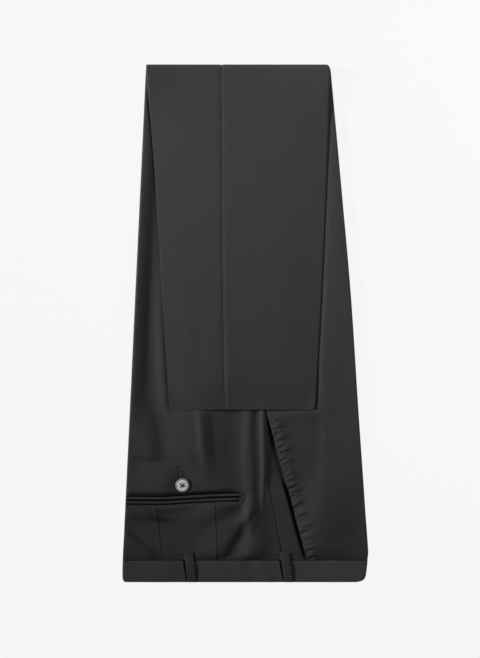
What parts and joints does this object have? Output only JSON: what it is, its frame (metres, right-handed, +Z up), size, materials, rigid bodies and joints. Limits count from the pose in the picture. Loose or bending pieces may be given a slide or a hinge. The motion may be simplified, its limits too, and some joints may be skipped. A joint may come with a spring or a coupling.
{
  "type": "folded suit trousers",
  "caption": "Dark suit trousers folded leg on leg and once across at the knee, lying flat, with slanted side pockets, a buttoned welt back pocket and belt loops.",
  "frame": {"origin": "on the table, under the middle of the folded package's box", "axes": "+X from the back crease to the front crease, +Y from the waist edge to the knee fold, +Z up from the table"},
  "size_m": [0.3003, 0.632, 0.0156],
  "materials": {
    "suiting": "fine charcoal worsted with a soft satin sheen",
    "suiting_inside": "the reverse of the charcoal worsted, matt",
    "button_pearl": "glossy off-white, like mother of pearl"
  },
  "bodies": {
    "root": {"left_front_panel": "suiting", "left_back_panel": "suiting", "right_front_panel": "suiting", "right_back_panel": "suiting", "left_waistband": "suiting", "right_waistband": "suiting", "left_pocket_facing": "suiting", "right_pocket_facing": "suiting", "left_back_belt_loop": "suiting", "left_side_belt_loop": "suiting", "right_back_belt_loop": "suiting", "right_side_belt_loop": "suiting", "back_pocket_upper_welt": "suiting", "back_pocket_lower_welt": "suiting", "inner_layers": "suiting_inside", "back_pocket_button": "button_pearl"}
  },
  "joints": []
}
